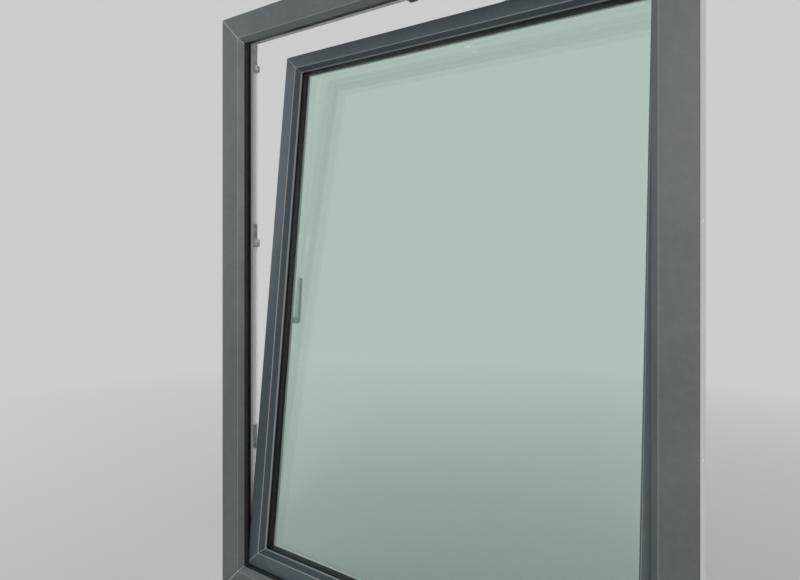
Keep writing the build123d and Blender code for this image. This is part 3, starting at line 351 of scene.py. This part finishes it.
def metal(name, tones, rough_low, rough_high, grain_scale):
    """Metal, whose grain runs longer along an axis with a smaller scale."""
    n = Nodes(name)
    place = n.place()
    drawn = n.noise(n.vector("MULTIPLY", place, grain_scale), scale=1.0, detail=4.0, roughness=0.65)
    stain = n.noise(place, scale=55.0, detail=5.0, roughness=0.65)
    colour = n.mix(n.ramp(stain, low=0.35, high=0.7), *tones)
    rough = n.ramp(drawn, low=0.25, high=0.75, out_low=rough_low, out_high=rough_high)
    rough = n.math("ADD", rough, n.math("MULTIPLY", stain, 0.08))
    normal = n.bump(drawn, strength=0.12, distance=0.0002, normal=n.edges(0.0004))
    return n.shader(Base_Color=colour, Metallic=1.0, Roughness=rough, Normal=normal)


def glass():
    n = Nodes("float_glass")
    return n.shader(
        Base_Color=GLASS_TINT,
        Roughness=0.0,
        IOR=1.5,
        Transmission_Weight=1.0,
    )


def seen_rays(n):
    """1 for the rays that show a surface to the eye, also by way of glass and metal."""
    path = n.tree.nodes.new("ShaderNodeLightPath").outputs
    seen = n.math("MAXIMUM", path["Is Camera Ray"], path["Is Glossy Ray"])
    return n.math("MAXIMUM", seen, path["Is Transmission Ray"])


def floor_material():
    """Pale floor that keeps the object's shadow and fades into the backdrop's tone further out."""
    n = Nodes("pale_floor")
    x, y = n.split(n.place())[:2]
    far = n.math("SQRT", n.math("ADD", n.math("MULTIPLY", x, x), n.math("MULTIPLY", y, y)))
    fade = n.math("MULTIPLY", n.ramp(far, FLOOR_NEAR, FLOOR_FAR), seen_rays(n))
    lit = n.tree.nodes.new("ShaderNodeBsdfDiffuse")
    n.link(FLOOR_TONE, lit.inputs["Color"])
    plain = n.tree.nodes.new("ShaderNodeEmission")
    n.link(BACKDROP_TONE, plain.inputs["Color"])
    mixed = n.tree.nodes.new("ShaderNodeMixShader")
    n.link(fade, mixed.inputs[0])
    n.link(lit.outputs[0], mixed.inputs[1])
    n.link(plain.outputs[0], mixed.inputs[2])
    n.link(mixed.outputs[0], n.output.inputs["Surface"])
    return n.material


def stage():
    """The floor, and a world that lights the object but shows the plain backdrop."""
    bpy.ops.mesh.primitive_plane_add(size=FLOOR_SIZE, location=(0, 0, 0))
    floor = bpy.context.object
    floor.name = "floor"
    floor.data.materials.append(floor_material())
    world = bpy.data.worlds.new("studio")
    world.use_nodes = True
    tree = world.node_tree
    light = tree.nodes["Background"]
    light.inputs["Color"].default_value = (*SKY_LIGHT, 1.0)
    light.inputs["Strength"].default_value = SKY_STRENGTH
    shown = tree.nodes.new("ShaderNodeBackground")
    shown.inputs["Color"].default_value = (*BACKDROP_TONE, 1.0)
    path = tree.nodes.new("ShaderNodeLightPath").outputs
    either = tree.nodes.new("ShaderNodeMath")
    either.operation = "MAXIMUM"
    tree.links.new(path["Is Camera Ray"], either.inputs[0])
    tree.links.new(path["Is Transmission Ray"], either.inputs[1])
    mixed = tree.nodes.new("ShaderNodeMixShader")
    tree.links.new(either.outputs[0], mixed.inputs[0])
    tree.links.new(light.outputs[0], mixed.inputs[1])
    tree.links.new(shown.outputs[0], mixed.inputs[2])
    tree.links.new(mixed.outputs[0], tree.nodes["World Output"].inputs["Surface"])
    bpy.context.scene.world = world


def panes():
    """A group of the two panes, which the lamps leave out, so that no lamp is mirrored in them."""
    group = bpy.data.collections.new("panes")
    for name in ("glass_outer", "glass_inner"):
        group.objects.link(nodes[name])
    for item in group.collection_objects:
        item.light_linking.link_state = "EXCLUDE"
    return group


def area_light(name, location, target, size, power, colour, left_out):
    data = bpy.data.lights.new(name, "AREA")
    data.shape = "RECTANGLE"
    data.size, data.size_y = size
    data.energy = power
    data.color = colour
    obj = bpy.data.objects.new(name, data)
    obj.location = location
    aim = Vector(target) - Vector(location)
    obj.rotation_euler = aim.to_track_quat("-Z", "Y").to_euler()
    obj.visible_transmission = False
    obj.light_linking.receiver_collection = left_out
    bpy.context.scene.collection.objects.link(obj)


def lights():
    left_out = panes()
    for lamp in LAMPS:
        area_light(*lamp, left_out)


SLOT_MATERIALS = {
    "frame_profile": profile_material("frame_foil", False, FRAME_FOIL),
    "sash_profile": profile_material("sash_foil", True, SASH_FOIL),
    "white_plastic": white_plastic(),
    "white_paint": white_paint(),
    "grey_plastic": grey_plastic(),
    "black_rubber": rubber(),
    "zinc_steel": metal("zinc_plate", ZINC_PLATE, 0.30, 0.44, (120, 900, 900)),
    "cast_zinc": metal("cast_zinc", CAST_ZINC, 0.34, 0.5, (500, 500, 500)),
    "spacer_aluminium": metal("spacer_black", SPACER_BLACK, 0.4, 0.55, (60, 900, 60)),
    "clear_glass": glass(),
}


def dress_nodes():
    for part in frame["record"]["subparts"]:
        obj = nodes[part["node"]]
        obj.data.materials.clear()
        obj.data.materials.append(SLOT_MATERIALS[part["material_slot"]])


camera()
stage()
lights()
dress_nodes()
bpy.context.scene.view_settings.view_transform = "Standard"
